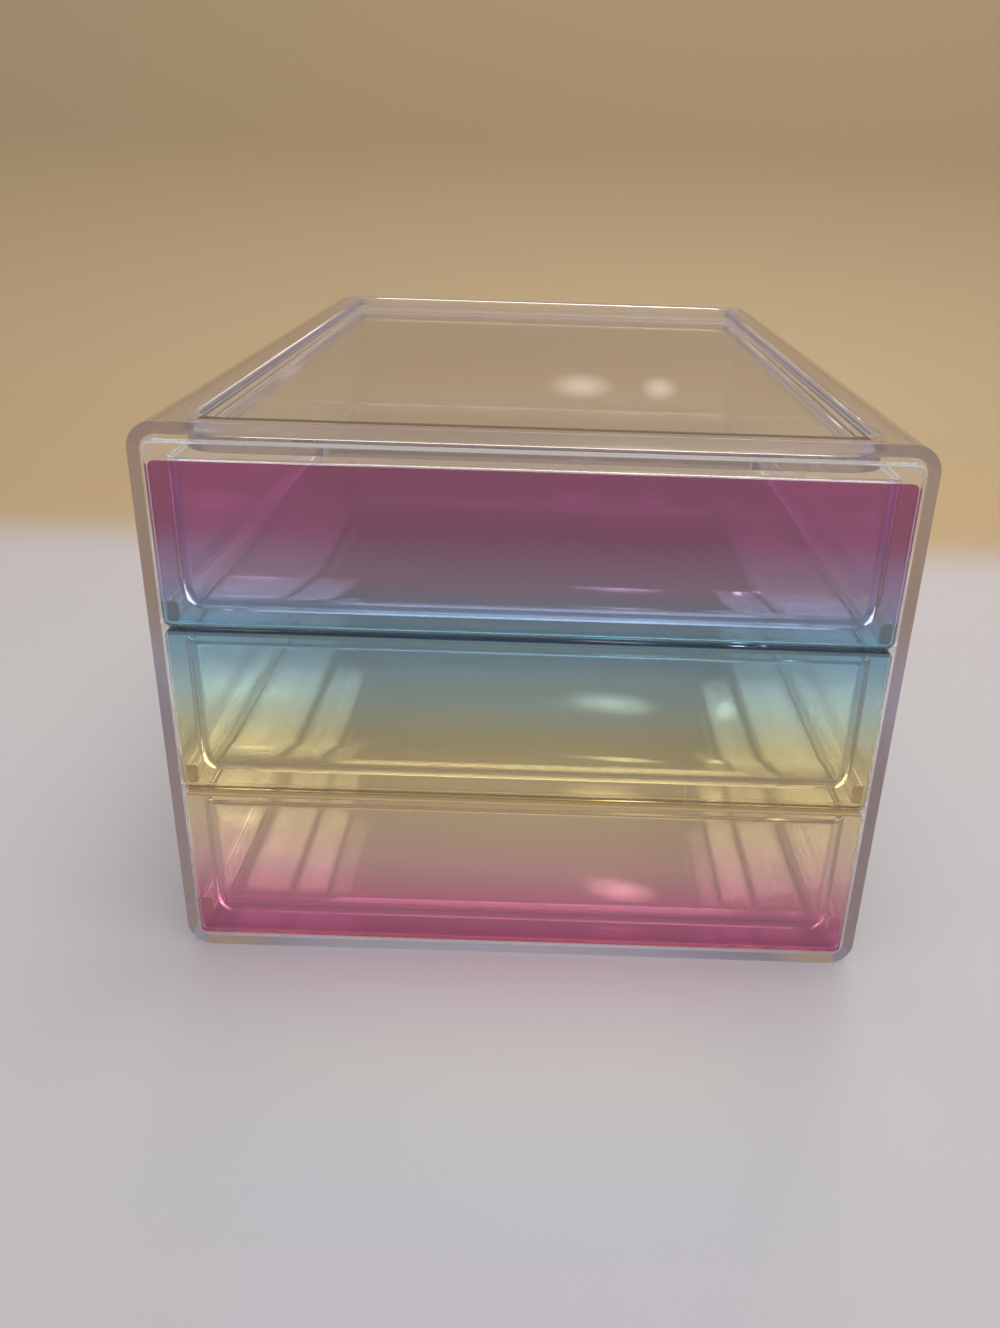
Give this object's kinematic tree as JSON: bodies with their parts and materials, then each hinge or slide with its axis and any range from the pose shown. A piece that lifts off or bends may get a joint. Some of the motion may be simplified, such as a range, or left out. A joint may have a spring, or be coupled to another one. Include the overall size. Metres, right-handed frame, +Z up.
{
  "type": "makeup organizer",
  "caption": "Clear plastic makeup organizer: a boxy case with a recessed top, holding wide handle-less drawers with rainbow-tinted clear fronts.",
  "frame": {"origin": "middle of the case's footprint, on the surface that it stands on", "axes": "+X to the right as seen from the front, +Y to the back (the drawers face -Y and pull out along -Y), +Z up"},
  "size_m": [0.17, 0.24, 0.1345],
  "materials": {
    "clear_case": "clear polystyrene, moulded and polished, with a faint lavender cast at its edges",
    "clear_shelf": "clear polystyrene sheet, polished",
    "clear_tray": "clear polystyrene, moulded, glossy",
    "clear_plate": "clear polystyrene, polished, glossy",
    "film_top": "clear film printed magenta at the top, fading through lavender to blue",
    "film_middle": "clear film printed turquoise at the top, fading through green to yellow",
    "film_bottom": "clear film printed yellow at the top, fading through salmon to pink"
  },
  "bodies": {
    "case": {"case_shell": "clear_case", "back_panel": "clear_case", "shelf_lower": "clear_shelf", "shelf_upper": "clear_shelf", "guide_strip_left_bottom": "clear_shelf", "guide_strip_right_bottom": "clear_shelf", "guide_strip_left_middle": "clear_shelf", "guide_strip_right_middle": "clear_shelf", "guide_strip_left_top": "clear_shelf", "guide_strip_right_top": "clear_shelf"},
    "drawer_top": {"tray_top": "clear_tray", "front_plate_top": "clear_plate", "rainbow_film_top": "film_top"},
    "drawer_middle": {"tray_middle": "clear_tray", "front_plate_middle": "clear_plate", "rainbow_film_middle": "film_middle"},
    "drawer_bottom": {"tray_bottom": "clear_tray", "front_plate_bottom": "clear_plate", "rainbow_film_bottom": "film_bottom"}
  },
  "joints": [
    {"name": "drawer_top_slide", "type": "slide", "parent": "case", "child": "drawer_top", "axis": [0, -1, 0], "range_m": [0, 0.18]},
    {"name": "drawer_middle_slide", "type": "slide", "parent": "case", "child": "drawer_middle", "axis": [0, -1, 0], "range_m": [0, 0.18]},
    {"name": "drawer_bottom_slide", "type": "slide", "parent": "case", "child": "drawer_bottom", "axis": [0, -1, 0], "range_m": [0, 0.18]}
  ]
}
